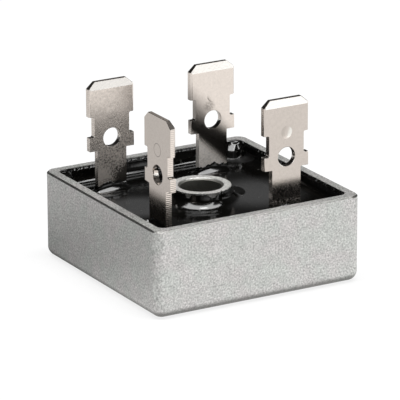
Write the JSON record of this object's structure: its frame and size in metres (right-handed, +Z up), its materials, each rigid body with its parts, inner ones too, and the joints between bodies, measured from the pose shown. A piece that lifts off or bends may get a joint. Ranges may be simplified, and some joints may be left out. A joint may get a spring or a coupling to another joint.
{
  "type": "bridge rectifier",
  "caption": "Square metal-case bridge rectifier potted in black compound, with a central screw boss and upright push-on tabs, one turned a quarter turn to mark the positive corner.",
  "frame": {"origin": "centre of the case's flat base, on the axis of the screw hole", "axes": "+Z up along the screw hole towards the tabs; the positive tab stands at the -X -Y corner, the negative tab at the +X +Y corner"},
  "size_m": [0.0286, 0.0286, 0.0231],
  "materials": {
    "cast_aluminium": "fine blasted cast skin with small bright specks",
    "black_potting": "glossy, creeping up what it touches",
    "tinned_tab": "tin-plated, stained and speckled towards the potting",
    "copper": "bare rolled copper",
    "white_ceramic": "matt fired plate",
    "silicon": "dark polished chip",
    "solder": "dull solder"
  },
  "bodies": {
    "root": {"heat_sink_case": "cast_aluminium", "insulating_plate": "white_ceramic", "positive_plate": "copper", "negative_plate": "copper", "ac_strap_left": "copper", "ac_strap_right": "copper", "chip_solder_lower_left": "solder", "diode_chip_left": "silicon", "chip_solder_upper_left": "solder", "chip_solder_lower_front": "solder", "diode_chip_front": "silicon", "chip_solder_upper_front": "solder", "chip_solder_lower_right": "solder", "diode_chip_right": "silicon", "chip_solder_upper_right": "solder", "chip_solder_lower_back": "solder", "diode_chip_back": "silicon", "chip_solder_upper_back": "solder", "terminal_solder_positive": "solder", "terminal_positive": "tinned_tab", "terminal_solder_negative": "solder", "terminal_negative": "tinned_tab", "terminal_solder_ac_left": "solder", "terminal_ac_left": "tinned_tab", "terminal_solder_ac_right": "solder", "terminal_ac_right": "tinned_tab", "potting_compound": "black_potting"}
  },
  "joints": []
}
